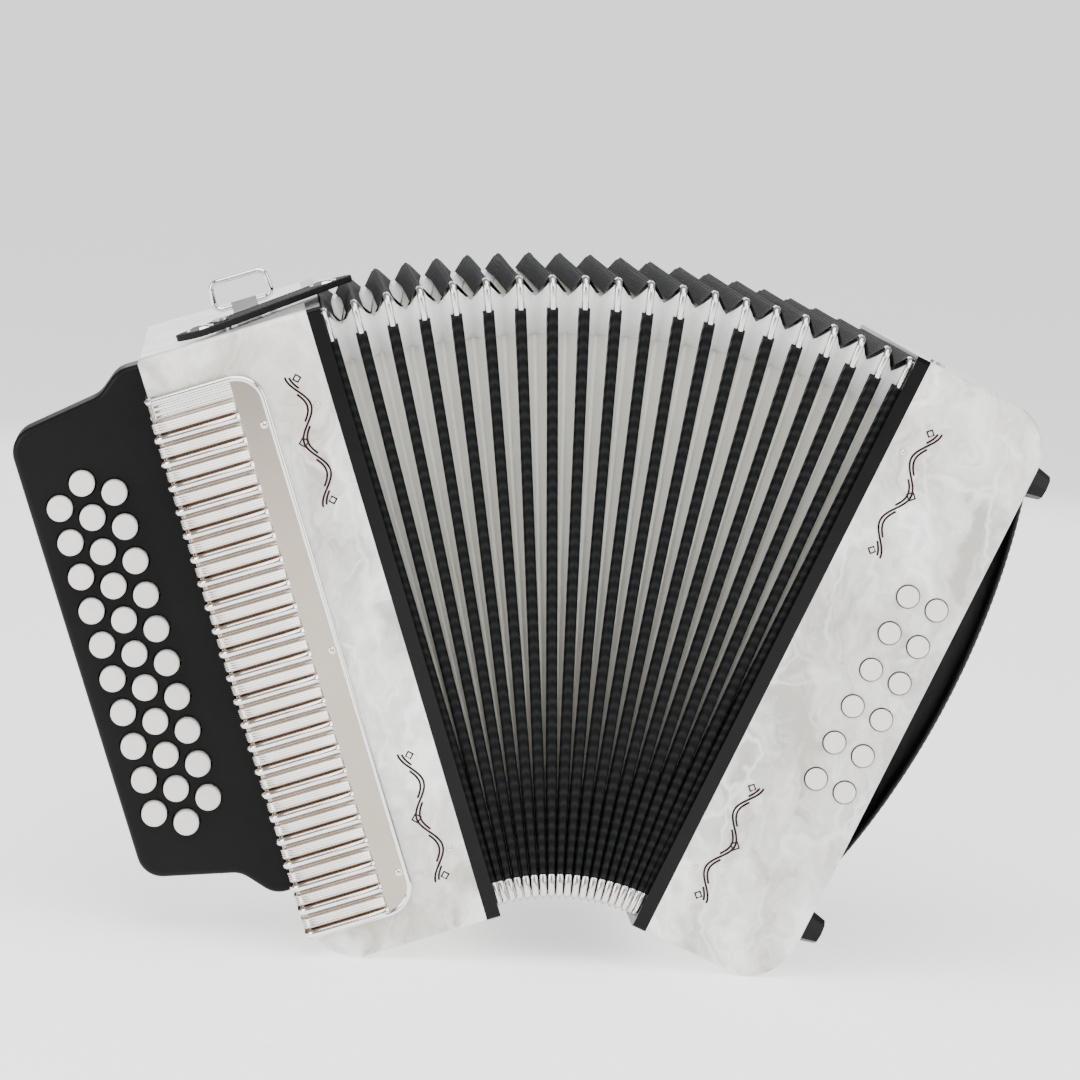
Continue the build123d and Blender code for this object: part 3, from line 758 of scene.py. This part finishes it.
def makeGussets():
    # Soft white corners stretched between neighbouring ridges
    bm = bmesh.new()
    along = bm.loops.layers.uv.new("along")
    reach = ribbon["gusset"]
    for index in range(bellows["ridges"] - 1):
        for side in (-1, 1):
            for upper in (True, False):

                def shape(across, run):
                    away = reach * abs(2 * run - 1)
                    dip = 1 - abs(2 * across - 1) ** 1.15
                    inset = ribbon["gussetEdge"] + (valleyInset(away) - ribbon["gussetEdge"]) * dip
                    back = inset + away * (1 - inset / reach)
                    depth, drop = (inset, back) if run < 0.5 else (back, inset)
                    height = bellows["high"] - drop if upper else bellows["low"] + drop
                    return foldPlace((index + across) / (bellows["ridges"] - 1)) @ Vector(
                        (0, side * (bellows["halfDepth"] - depth), height)
                    )

                addSheet(bm, 6, 12, shape, along, lambda across, run: (across, run))
    piece = makePiece("cornerGussets", bm, Matrix(), gussetSkin)
    foldWith(piece)


makeGussets()


def sweepTube(bm, points, radius, segments=12, closed=False):
    # Rings along a path that lies in a plane, bridged and capped
    points = [Vector(point) for point in points]
    sizes = radius if isinstance(radius, list) else [radius] * len(points)
    rings = []
    for index, point in enumerate(points):
        last = points[index - 1] if closed or index else point
        ahead = points[(index + 1) % len(points)] if closed or index < len(points) - 1 else point
        turn = Vector((0, 0, 1)).rotation_difference((ahead - last).normalized()).to_matrix().to_4x4()
        made = bmesh.ops.create_circle(
            bm, cap_ends=False, segments=segments, radius=sizes[index],
            matrix=Matrix.Translation(point) @ turn,
        )
        rings.append(made["verts"])
    pairs = list(zip(rings, rings[1:])) + ([(rings[-1], rings[0])] if closed else [])
    for first, second in pairs:
        bmesh.ops.bridge_loops(bm, edges=loopEdges(first) + loopEdges(second))
    if not closed:
        bmesh.ops.contextual_create(bm, geom=rings[0])
        bmesh.ops.contextual_create(bm, geom=rings[-1])


cornerCap = {
    "wire": 0.00178,
    "leg": 0.0105,
    "foot": 0.003,
    "bend": 0.0042,
    "sink": 0.0008,  # how far the clip's axis lies inside the corner
    "lowScale": 0.78,  # the lower caps are shorter
}


def makeCornerCaps():
    # One bent clip, drawn at the origin with its outer corner there, then set on every ridge's corners
    settings = cornerCap
    bend = settings["bend"]
    path = [(0, 0, -bend - settings["leg"]), (0, 0, -bend - settings["leg"] + 0.0006), (0, 0, -bend)]
    for step in range(1, 7):
        angle = math.pi / 2 * step / 6
        path.append((0, bend * (1 - math.cos(angle)), -bend + bend * math.sin(angle)))
    path.append((0, bend + settings["foot"], 0))
    sizes = [settings["wire"] * 0.8] + [settings["wire"]] * (len(path) - 1)
    bm = bmesh.new()
    sweepTube(bm, path, sizes)
    bmesh.ops.recalc_face_normals(bm, faces=bm.faces)
    clip = bpy.data.meshes.new("cornerClip")
    bm.to_mesh(clip)
    bm.free()
    bm = bmesh.new()
    for index in range(bellows["ridges"]):
        ridge = foldPlace(ridgeShare(index)) @ Matrix.Translation((ridgeShift(index), 0, 0))
        for side in (-1, 1):
            for upper in (True, False):
                sink = settings["sink"]
                height = bellows["high"] - sink if upper else bellows["low"] + sink
                size = 1 if upper else settings["lowScale"]
                spot = Matrix.Translation((0, side * (bellows["halfDepth"] - sink), height))
                flip = Matrix.Diagonal((1, -side, size if upper else -size, 1))
                copyInto(bm, clip, ridge @ spot @ flip)
    piece = makePiece("ridgeCornerCaps", bm, Matrix(), nickel)
    foldWith(piece)
    bpy.data.meshes.remove(clip)


makeCornerCaps()
print("bellows ready")


# Chromed louvre cover over the treble front

grille = {
    "inner": 0.030,
    "outer": 0.085,
    "low": 0.0166,
    "high": 0.291,
    "corner": 0.0135,
    "sheet": 0.0011,
    "louvreFrom": 0.0445,
    "louvres": 22,
    "firstLouvre": 0.034,
    "pitch": 0.012,
    "sideReach": 0.0335,
    "front": -0.092,
    "overrun": 0.09,  # the plate is drawn this much too wide and cut at the casing's edge
    "beadRadius": 0.0015,
    "beadInset": 0.0012,
    "beadProud": 0.0007,
    "beadSteps": 12,
    "bend": 0.0026,  # where the louvres turn on to the side
    "bladeFrom": 0.53,
    "bladeTaper": 0.009,
    "endTaper": 0.0012,
}


def trebleFront(out, proud, up):
    return treblePoint(out, grille["front"] - proud, up)


def makeGrillePlate():
    settings = grille
    bm = bmesh.new()
    made = bmesh.ops.create_circle(bm, cap_ends=True, segments=48, radius=settings["corner"])
    middle = (settings["low"] + settings["high"]) / 2
    halfTall = (settings["high"] - settings["low"]) / 2 - settings["corner"]
    for vert in made["verts"]:
        across = vert.co.x + (0 if vert.co.x < 0 else settings["overrun"])
        up = vert.co.y + math.copysign(halfTall, vert.co.y) + middle
        vert.co = trebleFront(settings["inner"] + settings["corner"] + across, 0, up)
    face = made["verts"][0].link_faces[0]
    grown = bmesh.ops.extrude_face_region(bm, geom=[face])
    fresh = [item for item in grown["geom"] if isinstance(item, bmesh.types.BMVert)]
    bmesh.ops.translate(bm, vec=(0, -settings["sheet"], 0), verts=fresh)
    cut = treblePoint(settings["outer"] - 0.001, 0, 0)
    bmesh.ops.bisect_plane(
        bm, geom=list(bm.verts) + list(bm.edges) + list(bm.faces), plane_co=cut, plane_no=(-1, 0, 0),
        clear_outer=True,
    )
    bmesh.ops.holes_fill(bm, edges=[edge for edge in bm.edges if edge.is_boundary], sides=0)
    addBlock(
        bm, (settings["sheet"], settings["sideReach"] + 0.0008, settings["high"] - settings["low"]),
        treblePoint(settings["outer"] - 0.0005, settings["front"] + settings["sideReach"] / 2, middle),
        bevel=0.0004,
    )
    piece = makePiece("grillePlate", bm, treblePlace, plateChrome, body="treble")
    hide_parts("treble_grille")


def makeGrilleBead():
    # Rolled rim round the plate, on over the outer edge of the casing
    settings = grille
    inset, proud, steps = settings["beadInset"], settings["beadProud"], settings["beadSteps"]
    inner, corner = settings["inner"] + inset, settings["corner"]
    path = []
    for low in (False, True):
        up = settings["low"] + inset if low else settings["high"] - inset
        sign = -1 if low else 1
        part = [trebleFront(settings["outer"] - 0.0025, proud, up)]
        for step in range(steps + 1):
            angle = math.pi / 2 * step / steps
            across = inner + corner * (1 - math.sin(angle))
            part.append(trebleFront(across, proud, up - sign * corner * (1 - math.cos(angle))))
        path += part[::-1] if low else part
    bm = bmesh.new()
    sweepTube(bm, path, settings["beadRadius"], 12)
    for up in (settings["low"] + inset, settings["high"] - inset):
        side = settings["outer"] + 0.0002
        edge = [
            trebleFront(settings["outer"] - 0.0028, proud, up),
            trebleFront(side - 0.0008, -0.0004, up),
            trebleFront(side, -0.003, up),
            trebleFront(side, -settings["sideReach"] + 0.001, up),
        ]
        sweepTube(bm, edge, settings["beadRadius"], 12)
    piece = makePiece("grilleBead", bm, treblePlace, chrome, body="treble")


# Across one pitch, in shares of it: a ribbed pad, a groove, a round blade and the slot
profile = {
    "padTo": 0.5,
    "padEdge": 0.05,
    "padTall": 0.0013,
    "grooveTo": 0.56,
    "grooveTall": 0.0006,
    "bladeTo": 0.92,
    "bladeMiddle": 0.74,
    "bladeHalf": 0.18,
    "bladeTall": 0.0023,
}


def louvreHeight(share):
    if share < profile["padTo"]:
        edge = min(share, profile["padTo"] - share) / profile["padEdge"]
        return profile["padTall"] * min(1, edge)
    if share < profile["grooveTo"]:
        return profile["grooveTall"]
    if share < profile["bladeTo"]:
        off = (share - profile["bladeMiddle"]) / profile["bladeHalf"]
        return profile["bladeTall"] * math.sqrt(max(0, 1 - off**2))
    return 0


def makeLouvres():
    settings = grille
    bm = bmesh.new()
    along = bm.loops.layers.uv.new("along")
    low = settings["firstLouvre"] - settings["pitch"] * 1.5
    bend = settings["bend"]
    flat = settings["outer"] - bend - settings["louvreFrom"]
    turn = bend * math.pi / 2
    side = settings["sideReach"] - bend
    columns = [0, 0.0008, 0.0022, 0.005, 0.010, 0.020, flat - 0.004, flat]
    columns += [flat + turn * step / 5 for step in range(1, 6)]
    columns += [flat + turn + side * share for share in (0.3, 0.65, 0.9, 0.96, 1)]
    marks = [0, 0.035, 0.07, 0.25, 0.43, 0.465, 0.5, 0.56, 0.575, 0.61, 0.66, 0.74, 0.82, 0.87, 0.905, 0.92]

    def shape(across, run):
        reach = columns[round(across * (len(columns) - 1))]
        spot = round(run * len(marks) * settings["louvres"])
        number, mark = divmod(spot, len(marks))
        share = marks[mark]
        taper = settings["bladeTaper"] if share > settings["bladeFrom"] else settings["endTaper"]
        inner = min(1, reach / taper)
        outer = min(1, max(0, (flat + turn + side - reach) / settings["endTaper"]))
        height = louvreHeight(share) * math.sqrt(inner) * outer + 0.0001
        up = low + settings["pitch"] * (number + 1 - share)
        if reach <= flat:
            return trebleFront(settings["louvreFrom"] + reach, settings["sheet"] + height, up)
        angle = min((reach - flat) / bend, math.pi / 2)
        out = settings["outer"] - bend + (bend + height) * math.sin(angle)
        proud = settings["sheet"] - bend + (bend + height) * math.cos(angle) - max(0, reach - flat - turn)
        return trebleFront(out, proud, up)

    addSheet(
        bm, len(columns) - 1, len(marks) * settings["louvres"], shape, along,
        lambda across, run: (
            columns[round(across * (len(columns) - 1))],
            marks[round(run * len(marks) * settings["louvres"]) % len(marks)],
        ),
    )
    piece = makePiece("grilleLouvres", bm, treblePlace, louvreChrome, body="treble")


makeGrillePlate()
makeGrilleBead()
makeLouvres()


screws = {
    "grilleHeights": (0.264, 0.150, 0.036),
    "grilleOut": 0.0345,
    "grilleRadius": 0.0021,
    "sideHeights": (0.281, 0.027),
    "sideDepth": 0.012,
    "sideRadius": 0.0018,
    "head": 0.0012,
    "pinHeights": (0.040, 0.266),
    "pinOut": 0.0075,
    "pinRadius": 0.0016,
    "pinHead": 0.0011,
}


def makeScrews():
    settings = screws
    front = Matrix.Rotation(math.pi / 2, 4, "X")
    bm = bmesh.new()
    for up in settings["grilleHeights"]:
        spot = Matrix.Translation(trebleFront(settings["grilleOut"], grille["sheet"], up))
        addDome(bm, settings["grilleRadius"], settings["head"], spot @ front)
    for up in settings["sideHeights"]:
        spot = Matrix.Translation(trebleFront(grille["outer"] + 0.0001, -settings["sideDepth"], up))
        outward = Matrix.Rotation(-math.pi / 2, 4, "Y")
        addDome(bm, settings["sideRadius"], settings["head"], spot @ outward)
    makePiece("grilleScrews", bm, treblePlace, warmPin, body="treble")
    for name, place, point, body in (
        ("treblePins", treblePlace, treblePoint, "treble"),
        ("bassPins", bassPlace, bassPoint, "bass"),
    ):
        bm = bmesh.new()
        for up in settings["pinHeights"]:
            for side in (-1, 1):
                spot = Matrix.Translation(point(settings["pinOut"], side * casing["halfDepth"], up))
                turn = Matrix.Rotation(-side * math.pi / 2, 4, "X")
                addDome(bm, settings["pinRadius"], settings["pinHead"], spot @ turn)
        makePiece(name, bm, place, warmPin, body=body)


makeScrews()


# Inlaid scrolls on both fronts

scroll = {
    "swing": 0.0042,
    "line": 0.00058,
    "proud": 0.0003,
    "offset": 0.0019,
    "turns": 2.0,
    "bends": ((0.0, -1), (0.25, 1), (0.5, -1), (0.75, 1), (1.0, -1)),  # where the line doubles, and its side
    "bendReach": 0.105,
    "endMark": 0.0019,  # half widths of the diamonds
    "midMark": 0.0023,
    "endOut": -0.0012,
    "endGap": 0.002,
}


def scrollPath(bottom, top, shift=0.0, fromShare=0.0, toShare=1.0, steps=48):
    points = []
    for step in range(steps + 1):
        share = fromShare + (toShare - fromShare) * step / steps
        swing = scroll["swing"] * math.cos(2 * math.pi * scroll["turns"] * share)
        points.append((swing + shift, 0, bottom + (top - bottom) * share))
    return points


def makeScroll(name, place, outward, ranges, centre, body):
    bm = bmesh.new()
    for bottom, top in ranges:
        paths = [scrollPath(bottom, top)]
        for bendAt, sign in scroll["bends"]:
            low, high = max(bendAt - scroll["bendReach"], 0.01), min(bendAt + scroll["bendReach"], 0.99)
            paths.append(scrollPath(bottom, top, sign * scroll["offset"], low, high, 14))
        for path in paths:
            sweepTube(bm, path, scroll["line"], 6)
        for up, out, size in (
            (bottom + scroll["endGap"], scroll["endOut"], scroll["endMark"]),
            ((bottom + top) / 2, scroll["swing"], scroll["midMark"]),
            (top - scroll["endGap"], scroll["endOut"], scroll["endMark"]),
        ):
            square = [(out + size, 0, up), (out, 0, up + size), (out - size, 0, up), (out, 0, up - size)]
            sweepTube(bm, square, scroll["line"], 6, closed=True)
    bmesh.ops.scale(bm, vec=(1, scroll["proud"] / scroll["line"], 1), verts=bm.verts)
    across = outward * (casing["frameThick"] + centre)
    spot = Matrix.Translation((across, -casing["halfDepth"], casing["base"]))
    makePiece(name, bm, place @ spot @ Matrix.Diagonal((outward, 1, 1, 1)), ink, body=body)


makeScroll("trebleScroll", treblePlace, -1, ((0.026, 0.092), (0.218, 0.283)), 0.0145, "treble")
makeScroll("bassScroll", bassPlace, 1, ((0.026, 0.089), (0.215, 0.282)), 0.0165, "bass")


# Straps


def softCopy(nodeName, name, size, steps, material):
    # A carried-over shape with its hard edges eased
    bm = bmesh.new()
    bm.from_mesh(frame["nodes"][nodeName].data)
    bmesh.ops.remove_doubles(bm, verts=bm.verts, dist=1e-6)
    bmesh.ops.dissolve_limit(bm, angle_limit=math.radians(1), verts=bm.verts, edges=bm.edges)
    hard = math.radians(50)
    edges = [edge for edge in bm.edges if len(edge.link_faces) == 2 and edge.calc_face_angle() > hard]
    bevelAll(bm, edges, size, steps)
    piece = makePiece(name, bm, Matrix(), material)
    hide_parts(nodeName)
    return piece


belt = {
    "stud": (0.0406, -0.067),
    "turn": 42.0,
    "low": 0.0016,
    "thick": 0.003,
    "length": 0.109,
    "wide": 0.023,
    "tail": 0.025,
    "stitchInset": 0.0022,
    "stitches": 34,
    "stitchEnd": 0.009,
    "stitch": (0.0017, 0.0005, 0.0005),
    "snapInset": 0.014,
    "plate": 0.0072,
    "plateTop": 0.0066,
    "plateThick": 0.0009,
    "snap": 0.0052,
    "snapTall": 0.0016,
}

belting = softCopy("bellows_strap", "bellowsStrap", 0.0009, 3, leather)
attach(belting, "bellows_strap")


def beltPlace():
    spot = treblePoint(belt["stud"][0], belt["stud"][1], casing["height"] + belt["low"])
    return treblePlace @ Matrix.Translation(spot) @ Matrix.Rotation(math.radians(belt["turn"]), 4, "Z")


def makeBeltDetails():
    bm = bmesh.new()
    start = -belt["tail"] + belt["stitchEnd"]
    finish = belt["length"] - belt["tail"] - belt["stitchEnd"]
    for side in (-1, 1):
        for step in range(belt["stitches"]):
            across = side * (belt["wide"] / 2 - belt["stitchInset"])
            spot = (start + (finish - start) * (step + 0.5) / belt["stitches"], across, belt["thick"])
            addBlock(bm, belt["stitch"], spot)
    makePiece("beltStitches", bm, beltPlace(), thread, body="bellows_strap")
    bm = bmesh.new()
    for along in (-belt["snapInset"], belt["length"] - belt["tail"] - belt["snapInset"]):
        place = Matrix.Translation((along, 0, belt["thick"] - 0.0001))
        bmesh.ops.create_cone(
            bm, cap_ends=True, segments=32, radius1=belt["plate"], radius2=belt["plateTop"],
            depth=belt["plateThick"], matrix=place,
        )
        addDome(bm, belt["snap"], belt["snapTall"], place @ Matrix.Translation((0, 0, 0.0003)), 28)
    makePiece("beltSnaps", bm, beltPlace(), chrome, body="bellows_strap")


makeBeltDetails()

handBand = {
    "low": 0.036,
    "high": 0.300,
    "half": 0.038,
    "rise": 0.026,
    "thick": 0.0052,
    "rows": 30,
    "crown": 0.0022,
    "seat": 0.0013,
    "fullness": 0.62,
    "segments": 28,
    "pinch": 0.16,
    "pinchReach": 0.05,
    "coverFrom": 0.048,  # the end cover stands between these heights
    "coverTo": 0.266,
    "coverClear": 0.0021,
    "wallClear": 0.0001,
    "stitches": 60,
    "stitchInset": 0.0068,
    "stitch": (0.0007, 0.0006, 0.0024),
}


def bandRise(share):
    # Bowed alike to both ends and fullest at the middle
    bow = math.sin(math.pi * min(max(share, 0), 1)) ** handBand["fullness"]
    return handBand["rise"] * bow + handBand["seat"]


def makeHandBand():
    settings = handBand
    bm = bmesh.new()
    rings = []
    for row in range(settings["rows"] + 1):
        share = row / settings["rows"]
        ease = 0.5 - 0.5 * math.cos(math.pi * share)
        up = settings["low"] + (settings["high"] - settings["low"]) * ease
        top = casing["bassWidth"] + bandRise(ease)
        made = bmesh.ops.create_circle(bm, cap_ends=False, segments=settings["segments"], radius=1)
        pinch = 1 - settings["pinch"] * math.exp(-((min(ease, 1 - ease) / settings["pinchReach"]) ** 2))
        overCover = settings["coverFrom"] < up < settings["coverTo"]
        floor = casing["bassWidth"] + settings["coverClear" if overCover else "wallClear"]
        for vert in made["verts"]:
            angle = math.atan2(vert.co.y, vert.co.x)
            side = math.copysign(abs(math.cos(angle)) ** 0.45, math.cos(angle))
            lift = math.copysign(abs(math.sin(angle)) ** 0.8, math.sin(angle))
            puff = settings["crown"] * max(0, 1 - side * side) if lift > 0 else 0
            thick = settings["thick"] / 2
            out = top - thick - settings["crown"] * 0.8 + lift * thick + puff * pinch
            vert.co = bassPoint(max(out, floor), side * settings["half"] * pinch, up)
        rings.append(made["verts"])
    for first, second in zip(rings, rings[1:]):
        bmesh.ops.bridge_loops(bm, edges=loopEdges(first) + loopEdges(second))
    for ring in (rings[0], rings[-1]):
        bmesh.ops.contextual_create(bm, geom=ring)
    piece = makePiece("handBand", bm, bassPlace, leather, body="bass")
    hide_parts("hand_strap")
    bm = bmesh.new()
    for side in (-1, 1):
        for step in range(settings["stitches"]):
            ease = 0.06 + 0.88 * (step + 0.5) / settings["stitches"]
            up = settings["low"] + (settings["high"] - settings["low"]) * ease
            gain = bandRise(ease + 0.005) - bandRise(ease - 0.005)
            tilt = math.atan2(gain, 0.01 * (settings["high"] - settings["low"]))
            out = casing["bassWidth"] + bandRise(ease) - settings["crown"] * 0.45 - 0.0008
            spot = bassPoint(out, side * (settings["half"] - settings["stitchInset"]), up)
            addBlock(bm, settings["stitch"], spot, turn=Matrix.Rotation(tilt, 4, "Y"))
    makePiece("handBandStitches", bm, bassPlace, thread, body="bass")


makeHandBand()
print("details ready")


# Camera, lights and floor

view = {
    "place": (-0.156168, -2.057543, 0.470242),
    "yaw": -4.64,
    "pitch": -7.532,
    "roll": -3.771,
    "lens": 137.3,
    "sensor": 36,
    "clipStart": 0.05,
}


def makeCamera():
    data = bpy.data.cameras.new("camera")
    data.lens = view["lens"]
    data.sensor_width = view["sensor"]
    data.clip_start = view["clipStart"]
    camera = bpy.data.objects.new("camera", data)
    bpy.context.collection.objects.link(camera)
    turn = (
        Matrix.Rotation(math.radians(view["yaw"]), 4, "Z")
        @ Matrix.Rotation(math.radians(view["pitch"]), 4, "X")
        @ Matrix.Rotation(math.radians(view["roll"]), 4, "Y")
        @ Matrix.Rotation(math.pi / 2, 4, "X")
    )
    camera.matrix_world = Matrix.Translation(view["place"]) @ turn
    bpy.context.scene.camera = camera


lamps = {
    # place, size, power
    "overhead": ((0.0, -0.5, 1.6), 1.5, 31),
    "leftBox": ((-1.7, -1.1, 0.8), 1.2, 29),
    "rightBox": ((1.6, -1.2, 0.9), 1.2, 20),
    "frontFill": ((0.1, -2.0, 1.5), 1.2, 18),
    "backFill": ((0.2, 1.8, 0.9), 1.4, 12),
}

studio = {
    "aim": (0, 0, 0.17),
    "ambientColor": (0.93, 0.94, 0.96, 1),
    "ambient": 0.4,
    "backdrop": 1.43,  # what the camera sees behind the floor
    "floorSize": 300,
    "floorDrop": 0.0005,
}


def makeLights():
    for name, (place, size, power) in lamps.items():
        data = bpy.data.lights.new(name, "AREA")
        data.shape = "SQUARE"
        data.size = size
        data.energy = power
        lamp = bpy.data.objects.new(name, data)
        bpy.context.collection.objects.link(lamp)
        aim = Vector(studio["aim"]) - Vector(place)
        turn = aim.to_track_quat("-Z", "Y").to_matrix().to_4x4()
        lamp.matrix_world = Matrix.Translation(place) @ turn
    world = bpy.data.worlds.new("studio")
    world.use_nodes = True
    tree = world.node_tree
    shade = tree.nodes["Background"]
    shade.inputs["Color"].default_value = studio["ambientColor"]
    shade.inputs["Strength"].default_value = studio["ambient"]
    backdrop = tree.nodes.new("ShaderNodeBackground")
    backdrop.inputs["Color"].default_value = (1, 1, 1, 1)
    backdrop.inputs["Strength"].default_value = studio["backdrop"]
    path = tree.nodes.new("ShaderNodeLightPath")
    mix = tree.nodes.new("ShaderNodeMixShader")
    tree.links.new(path.outputs["Is Camera Ray"], mix.inputs[0])
    tree.links.new(shade.outputs[0], mix.inputs[1])
    tree.links.new(backdrop.outputs[0], mix.inputs[2])
    tree.links.new(mix.outputs[0], tree.nodes["World Output"].inputs["Surface"])
    bpy.context.scene.world = world


def makeStage():
    bm = bmesh.new()
    bmesh.ops.create_grid(bm, x_segments=1, y_segments=1, size=studio["floorSize"])
    drop = Matrix.Translation((0, 0, -studio["floorDrop"]))
    floor = makePiece("studioFloor", bm, drop, makeFloor(), smooth=False)


makeCamera()
makeLights()
makeStage()
print("stage ready")
